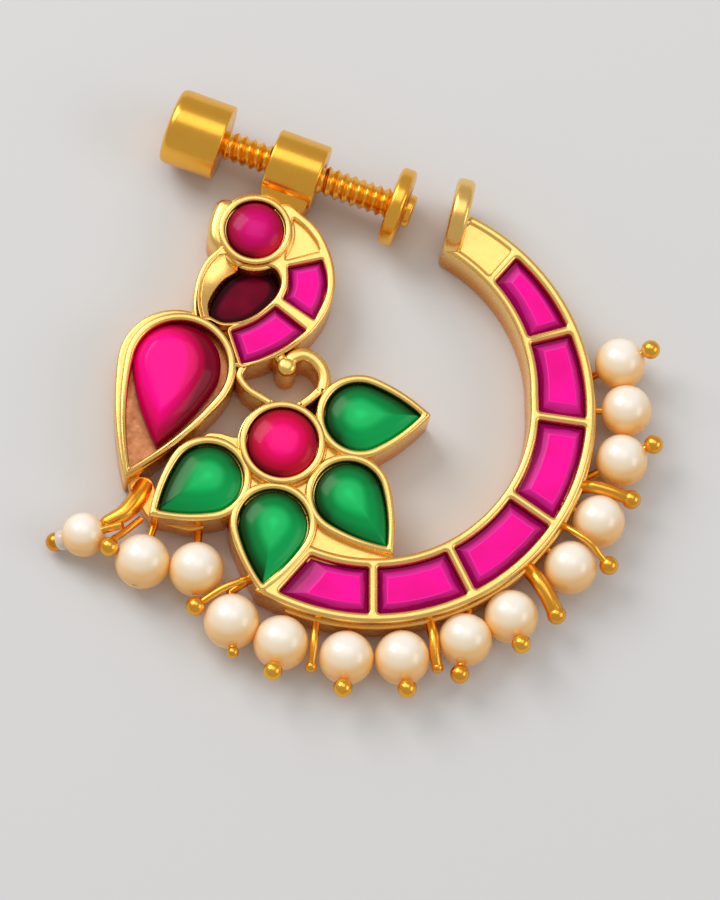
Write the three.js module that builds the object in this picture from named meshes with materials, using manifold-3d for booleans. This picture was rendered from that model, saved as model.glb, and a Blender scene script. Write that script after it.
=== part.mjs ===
// Open nose ring in the form of a bird and a flower on a crescent: a soldered gold frame with
// set stones, a fringe of drilled pearls on short posts, and a thumbscrew that clamps the ring.
// Millimetres. It lies on its back: X to the right, Y towards the screw, Z up through the stones.
import * as THREE from 'three';
import { mergeVertices } from 'three/addons/utils/BufferGeometryUtils.js';
import Module from 'manifold-3d';

const wasm = await Module();
wasm.setup();

// ---------------------------------------------------------------- driving dimensions
const frameDepth = 2.6; // back face to the top of the rails
const bedHeight = 1.1; // floor of an ordinary stone cell
const webHeight = 2.1; // low gold between the settings
const railWidth = 0.42;
const flushRecess = 0.3; // depth of the plain gold cells
const setClearance = 0.06; // between a stone and its cell

// Crescent: middle, outer radius, and an inner radius that opens out towards the tip.
const band = {
  x: 0.4, y: 1.7, outer: 11.17, inner: 7.9, innerSpread: 0.0155, spreadFrom: 4,
  tipDeg: 62, tailDeg: -121, innerRail: 0.46, outerRail: 0.5, tailCellDeg: -113,
};
// Crossbars of the crescent: place round it, and how far each leans from the radius.
const crossbars = [
  { deg: 47.8, lean: 1.5 },
  { deg: 23.0, lean: -7 },
  { deg: -3.6, lean: -4 },
  { deg: -33.4, lean: -1.6 },
  { deg: -62.5, lean: -1.2 },
  { deg: -89.5, lean: -0.6 },
];
const crossbarWidth = 0.45;

// Round settings: middle, stone radius, rim width, lower collar, height of the rim.
const heart = { x: -4.02, y: -0.47, r: 1.79, rim: 0.33, collar: 0.12, top: 2.85 };
const head = { x: -5.44, y: 10.55, r: 1.52, rim: 0.32, collar: 0.2, top: 2.9 };
// Drop-shaped cells: middle and radius of the round end, and the tip.
const petals = [
  { name: 'a', x: -0.2, y: 1.0, r: 1.74, tipX: 2.85, tipY: 1.12 },
  { name: 'b', x: -0.75, y: -3.05, r: 1.72, tipX: 1.15, tipY: -5.6 },
  { name: 'c', x: -4.43, y: -4.57, r: 1.74, tipX: -4.93, tipY: -7.6 },
  { name: 'd', x: -7.65, y: -2.3, r: 1.73, tipX: -10.12, tipY: -3.95 },
];
const wingCell = { x: -9.1, y: 3.42, r: 2.36, tipX: -11.5, tipY: -1.8, floor: 1.3, shoulder: 0.14 };
const wingStone = { x: -9.22, y: 3.6, r: 2.05, tipX: -10.2, tipY: -0.5 };

const ovalBed = 0.6;
const ovalStoneTop = 1.5;

// Screw: its axis in plan, with every part placed along it from the middle of the barrel.
const screwAxis = { x: -3.38, y: 14.01, z: 2.1, deg: -19.9 };
const barrel = { length: 2.7, radius: 1.7, bore: 0.88, chamfer: 0.12 };
const thread = { pitch: 0.45, outer: 0.78, root: 0.58 };
const knob = { radius: 1.95, length: 2.85, gap: 2.5, chamfer: 0.35, edge: 0.1 };
const pad = { radius: 2.03, thickness: 0.8, hole: 0.44, gap: 3.7, chamfer: 0.12, play: 0.08 };
const rivet = { radius: 0.85, length: 0.32, neck: 0.34, chamfer: 0.12 };
const endPlate = { x: 4.85, y: 11.72, z: 2.1, deg: -17, radius: 1.8, thickness: 1.0, edge: 0.2 };

const pearlHeight = 1.4; // height of the pearls' middles above the back
const wire = { radius: 0.2, ball: 0.48, smallBall: 0.3, hole: 0.27, reach: 2.15 };

// ---------------------------------------------------------------- finishes
const gold = { color: 0xe0a63c, roughness: 0.28, metalness: 1 };
const satinGold = { color: 0xeebc5c, roughness: 0.4, metalness: 1 };
const magenta = { color: 0xc8107c, roughness: 0.08, metalness: 0 };
const ruby = { color: 0xb30a3e, roughness: 0.06, metalness: 0 };
const darkRed = { color: 0x4a0418, roughness: 0.1, metalness: 0 };
const green = { color: 0x04793a, roughness: 0.06, metalness: 0 };
const nacre = { color: 0xf4e6d4, roughness: 0.22, metalness: 0.05 };

// ---------------------------------------------------------------- plane outlines
const radians = THREE.MathUtils.degToRad;
const degrees = THREE.MathUtils.radToDeg;
const point = (x, y) => new THREE.Vector2(x, y);
const points = (pairs) => pairs.map(([x, y]) => point(x, y));

function polar(centre, radius, deg) {
  const a = radians(deg);
  return point(centre.x + radius * Math.cos(a), centre.y + radius * Math.sin(a));
}

function arc(centre, radius, fromDeg, toDeg, step = 20) {
  const steps = Math.max(1, Math.round(Math.abs(toDeg - fromDeg) / step));
  const line = [];
  for (let i = 0; i <= steps; i += 1) {
    line.push(polar(centre, radius, fromDeg + ((toDeg - fromDeg) * i) / steps));
  }
  return line;
}

const circle = (centre, radius, step) => arc(centre, radius, 0, 360, step).slice(0, -1);

// A round end drawn out to a tip by two sides that swell a little; grow is an offset outwards.
function dropOutline(drop, grow = 0, swell = 11) {
  const radius = drop.r + grow;
  const length = Math.hypot(drop.tipX - drop.x, drop.tipY - drop.y) + grow * 1.25;
  const axis = degrees(Math.atan2(drop.tipY - drop.y, drop.tipX - drop.x));
  const leave = degrees(Math.acos(radius / length)) + swell;
  const tip = polar(drop, length, axis);
  const side = (sign) => {
    const start = polar(drop, radius, axis + sign * leave);
    const control = polar(start, start.distanceTo(tip) / 2, axis + sign * (leave - 90));
    return new THREE.QuadraticBezierCurve(start, control, tip).getPoints(4);
  };
  const round = arc(drop, radius, axis + leave, axis + 360 - leave);
  return [...side(1).reverse().slice(0, -1), ...round, ...side(-1).slice(1, -1)];
}

// Strip that follows a smooth line, its width passing from one value to another.
function ribbonOutline(line, width, endWidth = width) {
  const curve = new THREE.SplineCurve(points(line));
  const steps = line.length * 3;
  const left = [];
  const right = [];
  for (let i = 0; i <= steps; i += 1) {
    const at = curve.getPointAt(i / steps);
    const along = curve.getTangentAt(i / steps);
    const half = (width + ((endWidth - width) * i) / steps) / 2;
    left.push(point(at.x - along.y * half, at.y + along.x * half));
    right.push(point(at.x + along.y * half, at.y - along.x * half));
  }
  return [...left, ...right.reverse()];
}

// A polygon moved inwards by a distance, corner by corner.
function insetOutline(outline, inset) {
  const turn = Math.sign(THREE.ShapeUtils.area(outline));
  return outline.map((corner, i) => {
    const before = outline[(i + outline.length - 1) % outline.length];
    const after = outline[(i + 1) % outline.length];
    const a = corner.clone().sub(before).normalize();
    const b = after.clone().sub(corner).normalize();
    const inward = point(-(a.y + b.y), a.x + b.x).multiplyScalar(turn).normalize();
    const along = Math.sqrt((1 + a.dot(b)) / 2);
    return corner.clone().addScaledVector(inward, inset / along);
  });
}

// ---------------------------------------------------------------- the crescent
const innerEdge = (deg) => band.inner + band.innerSpread * Math.max(0, deg - band.spreadFrom);
const bandMiddle = (band.inner + band.outer) / 2;
const cellInner = (deg) => innerEdge(deg) + band.innerRail;
const cellOuter = () => band.outer - band.outerRail;

function bandArc(radiusAt, fromDeg, toDeg, steps) {
  const line = [];
  for (let i = 0; i <= steps; i += 1) {
    const deg = fromDeg + ((toDeg - fromDeg) * i) / steps;
    line.push(polar(band, radiusAt(deg), deg));
  }
  return line;
}

const bandOutline = () => [
  ...bandArc(() => band.outer, band.tailDeg, band.tipDeg, 26),
  ...bandArc(innerEdge, band.tipDeg + 4, band.tailDeg + 8, 24),
];

// Angle of a crossbar's edge at a radius; side is +1 towards larger angles.
function barEdge(bar, radius, side) {
  const slant = (radius - bandMiddle) * Math.tan(radians(bar.lean));
  return bar.deg + degrees((slant + (side * crossbarWidth) / 2) / radius);
}

function cellOutline(upper, lower) {
  const outer = cellOuter();
  const inner = cellInner((upper.deg + lower.deg) / 2);
  return [
    ...bandArc(cellOuter, barEdge(lower, outer, 1), barEdge(upper, outer, -1), 3),
    ...bandArc(cellInner, barEdge(upper, inner, -1), barEdge(lower, inner, 1), 3),
  ];
}

// The last cell runs out under the petal that closes the crescent.
function tailOutline() {
  const bar = crossbars[crossbars.length - 1];
  return [
    ...bandArc(cellOuter, band.tailCellDeg, barEdge(bar, cellOuter(), -1), 3),
    ...bandArc(cellInner, barEdge(bar, band.inner, -1), band.tailCellDeg + 3.5, 2),
  ];
}

// The plain gold cell beside the end plate.
function tipOutline() {
  const bar = crossbars[0];
  return [
    ...bandArc(cellOuter, barEdge(bar, cellOuter(), 1), band.tipDeg - 1, 2),
    ...bandArc(cellInner, band.tipDeg + 3, barEdge(bar, band.inner, 1), 2),
  ];
}

const bandCells = crossbars.slice(1).map((bar, i) => cellOutline(crossbars[i], bar));
bandCells.push(tailOutline());

// ---------------------------------------------------------------- the bird's neck
const neckOutline = points([
  [-3.9, 12.05], [-3.0, 11.45], [-2.4, 10.9], [-1.95, 10.2], [-1.6, 9.3], [-1.43, 8.4],
  [-1.45, 7.5], [-1.75, 6.5], [-2.3, 5.6], [-2.9, 4.95], [-3.9, 4.25], [-5.0, 3.7],
  [-6.1, 3.4], [-6.9, 4.2], [-7.4, 5.9], [-8.35, 6.2], [-8.45, 7.2],
  [-8.3, 8.2], [-7.9, 9.0], [-7.25, 9.6], [-6.4, 10.4], [-5.0, 11.4],
]);
const ovalOutline = points([
  [-6.3, 8.66], [-5.4, 8.9], [-4.5, 8.63], [-4.2, 8.2], [-4.15, 7.75], [-4.4, 7.15],
  [-4.9, 6.6], [-5.5, 6.12], [-6.2, 5.82], [-7.0, 5.75], [-7.9, 6.3], [-7.95, 6.8],
  [-7.6, 7.45], [-7.0, 8.2],
]);
const neckCells = [
  points([[-3.76, 8.74], [-2.07, 9.14], [-1.85, 8.3], [-1.9, 7.28], [-2.46, 5.98], [-4.0, 7.04],
    [-3.76, 7.75]]),
  points([[-6.6, 5.32], [-5.4, 5.86], [-4.38, 6.66], [-2.86, 5.43], [-3.86, 4.6], [-5.0, 3.97],
    [-6.04, 3.6]]),
];
const neckPanel = points([[-3.5, 11.25], [-2.95, 10.8], [-2.42, 10.1], [-2.22, 9.6], [-3.9, 9.1]]);
const breastCrease = [[-7.25, 9.25], [-7.8, 8.35], [-8.0, 7.4], [-8.02, 6.75]];
const beak = { line: [[-6.7, 11.7], [-7.3, 11.82], [-7.68, 11.2], [-7.7, 10.4], [-7.2, 9.7]], width: 0.5 };
const hook = {
  line: [[-3.72, 3.5], [-3.5, 4.0], [-3.0, 4.22], [-2.45, 4.0], [-2.05, 3.5], [-1.92, 2.9], [-2.1, 2.1]],
  width: 0.64, ball: 0.42, top: 2.5,
};
const heartRails = [
  { line: [[-5.9, 3.6], [-6.15, 3.0], [-5.75, 2.38], [-5.15, 1.98], [-4.5, 1.6]], width: 0.38 },
  { line: [[-1.95, 2.6], [-2.6, 1.95], [-3.2, 1.5]], width: 0.42 },
];

// Low plates that tie the settings together, and the tier under the petals that bears pearls.
const webs = [
  { z0: 0, z1: webHeight, outline: points([
    [-8.3, -0.6], [-7.9, 0.7], [-7.0, 0.25], [-6.2, -0.1], [-4.0, 1.2], [-2.2, 0.6],
    [-0.6, -0.6], [-0.5, -2.4], [-3.0, -4.2], [-5.0, -4.0], [-7.0, -3.0]]) },
  { z0: 0, z1: webHeight, outline: points([
    [-3.4, -3.8], [-1.2, -4.6], [1.3, -5.7], [1.75, -6.3], [-0.4, -6.6], [-3.0, -6.4]]) },
  { z0: 0.3, z1: 1.5, outline: points([
    [-11.95, -1.9], [-11.6, -3.2], [-11.1, -4.55], [-9.3, -4.95], [-7.4, -5.15], [-6.1, -5.5],
    [-5.6, -4.6], [-7.8, -3.8], [-10.0, -3.2], [-10.4, -2.0]]) },
];

// ---------------------------------------------------------------- the pearl fringe
// ball: round wire end that keeps the pearl on; root: where a post starts that isn't straight out.
const pearls = [
  { x: 12.99, y: 4.36, r: 1.26, ball: [14.22, 4.78, 2.2] },
  { x: 13.25, y: 1.91, r: 1.27 },
  { x: 12.96, y: -0.7, r: 1.3, ball: [14.5, 0.03, 1.84] },
  { x: 11.76, y: -3.87, r: 1.31 },
  { x: 10.31, y: -6.24, r: 1.31 },
  { x: 7.35, y: -8.78, r: 1.31, ball: [7.74, -10.29, 2.2] },
  { x: 5.07, y: -9.98, r: 1.3, ball: [4.79, -11.69, 1.6] },
  { x: 1.97, y: -10.94, r: 1.35, ball: [2.15, -12.6, 2.08] },
  { x: -0.78, y: -10.98, r: 1.35, ball: [-0.98, -12.61, 2.12] },
  { x: -3.97, y: -10.28, r: 1.36, ball: [-4.39, -11.83, 2.2] },
  { x: -6.4, y: -9.25, r: 1.34, ball: [-6.34, -10.8, 1.74], small: true, root: [-5.3, -6.9, 1.2] },
  { x: -8.14, y: -6.66, r: 1.3, root: [-8.05, -4.6, 1.0] },
  { x: -10.8, y: -6.3, r: 1.32, root: [-10.2, -4.2, 1.0] },
  { x: -13.7, y: -5.0, r: 1.07, ball: [-15.06, -5.2, 0.7] },
];

// Bent wires between the pearls, each soldered to the wall and ending in a ball.
const wires = [
  { r: 0.34, ball: 0.48,
    line: [[10.7, -2.1, 1.3], [11.5, -2.15, 1.7], [12.4, -2.4, 1.75], [13.4, -2.75, 1.6]] },
  { r: 0.18, ball: 0.48,
    line: [[9.5, -3.9, 1.7], [11.05, -5.06, 2.35], [11.7, -5.75, 2.1], [12.2, -6.17, 1.7]] },
  { r: 0.42, ball: 0.48,
    line: [[8.1, -6.1, 1.3], [8.72, -7.05, 1.7], [9.18, -7.85, 1.75], [9.58, -8.7, 1.6]] },
  { r: 0.27, ball: 0.3,
    line: [[3.3, -8.7, 1.3], [3.48, -9.9, 1.75], [3.55, -10.8, 1.75], [3.68, -11.45, 1.6]] },
  { r: 0.2, ball: 0.3,
    line: [[-2.2, -8.8, 1.3], [-2.34, -9.9, 1.8], [-2.42, -10.8, 1.8], [-2.5, -11.5, 1.6]] },
  { r: 0.18, ball: 0.48,
    line: [[-5.0, -7.0, 1.6], [-6.0, -7.35, 2.0], [-7.0, -7.83, 2.0], [-8.18, -8.6, 1.75]] },
  { r: 0.18, ball: 0.48,
    line: [[-10.9, -4.1, 1.2], [-11.8, -4.95, 1.6], [-12.25, -5.35, 1.9], [-12.45, -5.75, 2.0]] },
  { r: 0.36, ball: 0.36,
    line: [[-10.7, -2.9, 1.3], [-11.35, -3.25, 1.6], [-11.8, -3.9, 1.9], [-12.5, -4.45, 2.0]] },
];

// ---------------------------------------------------------------- solids
function solidOf(geometry) {
  const bare = geometry.clone();
  bare.deleteAttribute('normal');
  bare.deleteAttribute('uv');
  const merged = mergeVertices(bare, 1e-4);
  const vertProperties = Float32Array.from(merged.attributes.position.array);
  const triVerts = Uint32Array.from(merged.index.array);
  return new wasm.Manifold(new wasm.Mesh({ numProp: 3, vertProperties, triVerts }));
}

function geometryOf(solid) {
  const { vertProperties, triVerts } = solid.getMesh();
  const geometry = new THREE.BufferGeometry();
  geometry.setAttribute('position', new THREE.BufferAttribute(vertProperties, 3));
  geometry.setIndex(new THREE.BufferAttribute(triVerts, 1));
  geometry.computeVertexNormals();
  return geometry;
}

const joined = (solids) => solids.reduce((sum, next) => sum.add(next));
const vector = ([x, y, z]) => new THREE.Vector3(x, y, z);

function prism(outline, z0, z1) {
  const shape = new THREE.Shape(outline);
  const geometry = new THREE.ExtrudeGeometry(shape, { depth: z1 - z0, bevelEnabled: false });
  return solidOf(geometry.translate(0, 0, z0));
}

const disc = (centre, radius, z0, z1) => prism(circle(centre, radius, 15), z0, z1);

function tube(line, radius, steps) {
  const path = new THREE.CatmullRomCurve3(line);
  const section = new THREE.Shape(circle(point(0, 0), radius, 60));
  const options = { extrudePath: path, steps, bevelEnabled: false };
  return solidOf(new THREE.ExtrudeGeometry(section, options));
}

function ball(middle, radius) {
  const geometry = new THREE.SphereGeometry(radius, 10, 6).rotateX(Math.PI / 2);
  return solidOf(geometry.translate(middle.x, middle.y, middle.z));
}

// Lathed about Y, then laid so that Y runs along a direction from a starting point.
function turned(profile, sides, from, direction) {
  const geometry = new THREE.LatheGeometry(points(profile), sides);
  const lay = new THREE.Quaternion().setFromUnitVectors(new THREE.Vector3(0, 1, 0), direction);
  return geometry.applyQuaternion(lay).translate(from.x, from.y, from.z);
}

// Round button with eased edges, between two stations on its axis.
function buttonProfile(radius, from, to, fromEdge, toEdge = fromEdge) {
  return [
    [0, from], [radius - fromEdge, from], [radius, from + fromEdge], [radius, to - toEdge],
    [radius - toEdge, to], [0, to],
  ];
}

// The same with a hole through it.
function collarProfile(radius, hole, from, to, edge) {
  return [[hole, from], ...buttonProfile(radius, from, to, edge).slice(1, -1), [hole, to], [hole, from]];
}

// ---------------------------------------------------------------- stones
// Cut stone: the outline with a table on top and facets above and below its girdle.
function cutStone(outline, bottom, table, facet) {
  const shape = new THREE.Shape(insetOutline(outline, setClearance));
  const geometry = new THREE.ExtrudeGeometry(shape, {
    depth: table - bottom - facet.height * 2, bevelEnabled: true, bevelSegments: 1,
    bevelThickness: facet.height, bevelSize: facet.width, bevelOffset: -facet.width,
  });
  return geometry.translate(0, 0, bottom + facet.height);
}

// Stone with a smooth outline: a lathe drawn out to the outline, its rings given as the share of
// the outline and the height.
function drawnStone(outline, middle, rings) {
  const geometry = new THREE.LatheGeometry(points(rings), outline.length).rotateX(Math.PI / 2);
  const place = geometry.attributes.position;
  for (let i = 0; i < place.count; i += 1) {
    const corner = outline[Math.floor(i / rings.length) % outline.length];
    const share = rings[i % rings.length][0];
    place.setX(i, middle.x + (corner.x - middle.x) * share);
    place.setY(i, middle.y + (corner.y - middle.y) * share);
  }
  return geometry;
}

// Cabochon rings: flat bed, straight wall, then a dome in even steps.
function domeRings(bottom, wallTop, domeTop, steps) {
  const rings = [[0, bottom], [1, bottom]];
  for (let i = 0; i < steps; i += 1) {
    const a = (i / steps) * (Math.PI / 2);
    rings.push([Math.cos(a), wallTop + (domeTop - wallTop) * Math.sin(a)]);
  }
  return [...rings, [0, domeTop]];
}

// ---------------------------------------------------------------- screw
const axisAngle = radians(screwAxis.deg);
const screwDirection = new THREE.Vector3(Math.cos(axisAngle), Math.sin(axisAngle), 0);
const plateAngle = radians(endPlate.deg);
const plateDirection = new THREE.Vector3(Math.cos(plateAngle), Math.sin(plateAngle), 0);
const knobFace = -barrel.length / 2 - knob.gap; // knob's face towards the barrel
const padFace = barrel.length / 2 + pad.gap; // pad's face towards the barrel
const padEnd = padFace + pad.thickness;

function rodProfile() {
  const shoulder = padFace - pad.play;
  const firstTurn = knobFace + 0.1;
  const turns = Math.floor((shoulder - firstTurn - 0.1) / thread.pitch);
  const profile = [[0, knobFace - 0.3], [thread.root, knobFace - 0.3]];
  for (let i = 0; i < turns; i += 1) {
    const start = firstTurn + i * thread.pitch;
    profile.push([thread.root, start], [thread.outer, start + thread.pitch / 2]);
  }
  profile.push([thread.root, firstTurn + turns * thread.pitch]);
  const rivetFace = padEnd + pad.play;
  const rivetTop = buttonProfile(rivet.radius, rivetFace, rivetFace + rivet.length, 0, rivet.chamfer);
  return [...profile, [thread.root, shoulder], [rivet.neck, shoulder], [rivet.neck, rivetFace],
    ...rivetTop.slice(2)];
}

const knobProfile = () => (
  buttonProfile(knob.radius, knobFace - knob.length, knobFace, knob.chamfer, knob.edge)
);
const onScrew = (profile, sides) => turned(profile, sides, screwAxis, screwDirection);

// ---------------------------------------------------------------- frame
// Middle of a pearl and the way its post runs outwards.
function pearlAxis(pearl) {
  const middle = new THREE.Vector3(pearl.x, pearl.y, pearlHeight);
  if (pearl.ball) {
    return { middle, outward: vector(pearl.ball).sub(middle).normalize() };
  }
  const from = pearl.root ? vector(pearl.root) : new THREE.Vector3(band.x, band.y, pearlHeight);
  return { middle, outward: middle.clone().sub(from).normalize() };
}

function pearlPost(pearl) {
  const { middle, outward } = pearlAxis(pearl);
  const along = (distance) => middle.clone().addScaledVector(outward, distance);
  const size = pearl.small ? wire.smallBall : wire.ball;
  const end = along(pearl.ball ? pearl.r + size * 0.97 : pearl.r - 0.05);
  const inner = pearl.root && pearl.ball ? along(-pearl.r - wire.radius) : along(-wire.reach);
  const pieces = [tube([inner, end], wire.radius, 1)];
  if (pearl.ball) {
    pieces.push(ball(end, size));
  }
  if (pearl.root && pearl.ball) {
    pieces.push(ball(inner, wire.radius), tube([vector(pearl.root), inner], wire.radius, 1));
  }
  return joined(pieces);
}

function bentWire(row) {
  const line = row.line.map(vector);
  return tube(line, row.r, 6).add(ball(line[line.length - 1], row.ball));
}

// Block between the barrel and the head, as wide as the barrel: along the screw, and down from it.
const saddle = { z0: 0.5, z1: 2.35, corners: [
  [-1.28, 0.4], [1.28, 0.4], [1.28, 1.9], [0.9, 2.6], [-0.6, 2.9], [-1.28, 2.0]] };

function saddleSolid() {
  const outline = saddle.corners.map(([along, down]) => point(
    screwAxis.x + screwDirection.x * along + screwDirection.y * down,
    screwAxis.y + screwDirection.y * along - screwDirection.x * down,
  ));
  return prism(outline, saddle.z0, saddle.z1);
}

const top = frameDepth;
const above = frameDepth + 1;

// Slab of the crescent and the bird, with its rails left standing round sunk cells.
function slabSolid() {
  const neckLine = new THREE.SplineCurve([...neckOutline, neckOutline[0]]);
  const bodies = [
    prism(bandOutline(), 0, top),
    prism(neckLine.getPoints(60).slice(0, -1), 0, top),
    prism(dropOutline(wingCell, railWidth + wingCell.shoulder), 0, top - 0.35),
    ...webs.map((web) => prism(web.outline, web.z0, web.z1)),
    ...heartRails.map((rail) => prism(ribbonOutline(rail.line, rail.width), 0, top - 0.1)),
    prism(ribbonOutline(beak.line, beak.width), 0, top),
    prism(ribbonOutline(hook.line, hook.width), 0, hook.top),
    disc(point(...hook.line[0]), hook.ball, 0, hook.top),
    saddleSolid(),
    ...pearls.map(pearlPost),
    ...wires.map(bentWire),
  ];
  const cells = [
    ...bandCells.map((cell) => prism(cell, bedHeight, above)),
    ...neckCells.map((cell) => prism(cell, bedHeight, above)),
    prism(tipOutline(), top - flushRecess, above),
    prism(neckPanel, top - flushRecess, above),
    prism(ribbonOutline(breastCrease, 0.12, 0.3), top - 0.25, above),
    prism(ovalOutline, ovalBed, above),
  ];
  return joined(bodies).subtract(joined(cells));
}

const collared = (seat) => disc(seat, seat.r + seat.rim, 0, seat.top)
  .add(disc(seat, seat.r + seat.rim + seat.collar, 0, top - 0.2));
const wingBezel = () => prism(dropOutline(wingCell, railWidth), 0, top);

function frameSolid() {
  const half = barrel.length / 2;
  const barrelBody = onScrew(buttonProfile(barrel.radius, -half, half, barrel.chamfer), 24);
  const bore = onScrew(buttonProfile(barrel.bore, -half - 0.5, half + 0.5, 0.01), 24);
  const halfPlate = endPlate.thickness / 2;
  const plate = buttonProfile(endPlate.radius, -halfPlate, halfPlate, endPlate.edge);
  const settings = [
    collared(heart), collared(head), wingBezel(),
    ...petals.map((petal) => prism(dropOutline(petal, railWidth), 0, top)),
  ];
  const beds = [
    disc(heart, heart.r, bedHeight, above), disc(head, head.r, bedHeight, above),
    prism(dropOutline(wingCell), wingCell.floor, above),
    ...petals.map((petal) => prism(dropOutline(petal), bedHeight, above)),
  ];
  return slabSolid()
    .add(joined(settings)).subtract(joined(beds))
    .add(solidOf(barrelBody))
    .add(solidOf(turned(plate, 24, endPlate, plateDirection)))
    .subtract(solidOf(bore));
}

// The dark stone lies deep in the oval cell, partly under the head and the wing settings.
function ovalStone() {
  const hidden = disc(head, head.r + head.rim + head.collar + setClearance, 0, above)
    .add(prism(dropOutline(wingCell, railWidth + wingCell.shoulder + setClearance), 0, above));
  return geometryOf(prism(insetOutline(ovalOutline, setClearance), ovalBed + 0.02, ovalStoneTop)
    .subtract(hidden));
}

// A stone in a cell that a petal overlaps is ground away beside the petal's rim.
function clearOfPetal(geometry, petal) {
  const rim = prism(dropOutline(petal, railWidth + setClearance), 0, above);
  return geometryOf(solidOf(geometry).subtract(rim));
}

function pearlGeometry(pearl) {
  const { middle, outward } = pearlAxis(pearl);
  const half = Math.sqrt(pearl.r ** 2 - wire.hole ** 2);
  const rise = Math.asin(half / pearl.r);
  const profile = [];
  for (let i = 0; i <= 7; i += 1) {
    const a = -rise + (2 * rise * i) / 7;
    profile.push([pearl.r * Math.cos(a), pearl.r * Math.sin(a)]);
  }
  profile.push(profile[0]);
  return turned(profile, 12, middle, outward);
}

// ---------------------------------------------------------------- the assembly
const group = new THREE.Group();

function addPiece(name, geometry, finish) {
  const mesh = new THREE.Mesh(geometry, new THREE.MeshStandardMaterial(finish));
  mesh.name = name;
  group.add(mesh);
}

const bed = bedHeight + 0.02;
const tableHeight = top - 0.05;
const bandFacet = { width: 0.42, height: 0.3 };
const neckFacet = { width: 0.32, height: 0.26 };
const wingRings = [[0, wingCell.floor + 0.02], [1, wingCell.floor + 0.02], [1, 2.2], [0.82, 2.7],
  [0.55, 2.95], [0, 2.98]];

addPiece('frame', geometryOf(frameSolid()), satinGold);
bandCells.forEach((cell, i) => {
  const stone = cutStone(cell, bed, tableHeight, bandFacet);
  const last = i === bandCells.length - 1;
  addPiece(`stone_band_${i + 1}`, last ? clearOfPetal(stone, petals[2]) : stone, magenta);
});
neckCells.forEach((cell, i) => {
  addPiece(`stone_neck_${i + 1}`, cutStone(cell, bed, tableHeight, neckFacet), magenta);
});
addPiece('stone_breast', ovalStone(), darkRed);
[['stone_head', head], ['stone_heart', heart]].forEach(([name, seat]) => {
  const outline = circle(seat, seat.r - setClearance, 18);
  addPiece(name, drawnStone(outline, seat, domeRings(bed, top, seat.top + 0.4, 4)), ruby);
});
addPiece('stone_wing', drawnStone(dropOutline(wingStone), wingStone, wingRings), ruby);
petals.forEach((petal) => {
  const outline = dropOutline(petal, -setClearance);
  const rings = domeRings(bed, top - 0.3, top + 0.35, 3);
  addPiece(`stone_petal_${petal.name}`, drawnStone(outline, petal, rings), green);
});
pearls.forEach((pearl, i) => {
  addPiece(`pearl_${String(i + 1).padStart(2, '0')}`, pearlGeometry(pearl), nacre);
});
addPiece('screw', geometryOf(solidOf(onScrew(rodProfile(), 12))
  .add(solidOf(onScrew(knobProfile(), 32)))), gold);
addPiece('pad', onScrew(collarProfile(pad.radius, pad.hole, padFace, padEnd, pad.chamfer), 24), gold);

// The origin is the middle of the underside of the whole piece.
const bounds = new THREE.Box3().setFromObject(group);
const centre = bounds.getCenter(new THREE.Vector3());
group.position.set(-centre.x, -centre.y, -bounds.min.z);

export default group;
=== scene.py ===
import math
import random

import bmesh
import bpy
from mathutils import Matrix, Vector, geometry


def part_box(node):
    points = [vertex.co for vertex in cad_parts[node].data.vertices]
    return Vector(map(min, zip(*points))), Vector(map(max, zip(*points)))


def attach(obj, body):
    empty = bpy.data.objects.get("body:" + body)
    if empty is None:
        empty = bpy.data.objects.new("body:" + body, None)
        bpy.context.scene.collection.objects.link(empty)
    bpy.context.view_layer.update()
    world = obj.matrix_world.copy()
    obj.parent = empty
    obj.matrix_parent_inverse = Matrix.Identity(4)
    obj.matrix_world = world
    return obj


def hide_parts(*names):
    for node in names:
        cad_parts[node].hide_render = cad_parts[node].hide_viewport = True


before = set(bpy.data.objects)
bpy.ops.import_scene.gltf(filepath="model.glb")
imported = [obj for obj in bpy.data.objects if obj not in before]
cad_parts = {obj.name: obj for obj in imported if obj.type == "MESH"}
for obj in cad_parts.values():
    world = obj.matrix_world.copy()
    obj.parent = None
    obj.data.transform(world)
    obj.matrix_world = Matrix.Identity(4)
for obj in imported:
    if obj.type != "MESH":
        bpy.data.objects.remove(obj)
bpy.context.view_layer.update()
random.seed(11)
mm = 0.001
print("frame loaded")

# The heart stone is round, so its box gives the shift from the drawing's millimetres to the frame.
heart = {"x": -4.02, "y": -0.47, "r": 1.79, "rim": 0.33, "collar": 0.12, "top": 2.85}
low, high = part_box("stone_heart")
shift = Vector(((low.x + high.x) / 2 / mm - heart["x"], (low.y + high.y) / 2 / mm - heart["y"], 0))


# Outlines are drawn in the plane, in millimetres.
def polar(x, y, r, deg):
    a = math.radians(deg)
    return Vector((x + r * math.cos(a), y + r * math.sin(a)))


def arcLine(x, y, radiusAt, fromDeg, toDeg, stepDeg=1.5):
    count = max(2, round(abs(toDeg - fromDeg) / stepDeg))
    degs = [fromDeg + (toDeg - fromDeg) * i / count for i in range(count + 1)]
    return [polar(x, y, radiusAt(d) if callable(radiusAt) else radiusAt, d) for d in degs]


# Smooth curve through the points.
def smoothLine(points, perSpan=6, closed=False):
    pts = [Vector(p) for p in points]
    n = len(pts)
    line = []
    for i in range(n if closed else n - 1):
        if closed:
            a, b, c, d = pts[i - 1], pts[i], pts[(i + 1) % n], pts[(i + 2) % n]
        else:
            b, c = pts[i], pts[i + 1]
            a = pts[i - 1] if i else b + b - c
            d = pts[i + 2] if i + 2 < n else c + c - b
        for k in range(perSpan):
            t = k / perSpan
            line.append(0.5 * (2 * b + (c - a) * t + (2 * a - 5 * b + 4 * c - d) * t * t
                               + (3 * b - a - 3 * c + d) * t ** 3))
    return line if closed else line + [pts[-1]]


# A closed outline from its sides; a side of two points is straight, a longer one is a smooth curve.
def sidesLine(sides, perSpan=6):
    line = []
    for side in sides:
        line += smoothLine(side, perSpan)[:-1]
    return line


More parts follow.
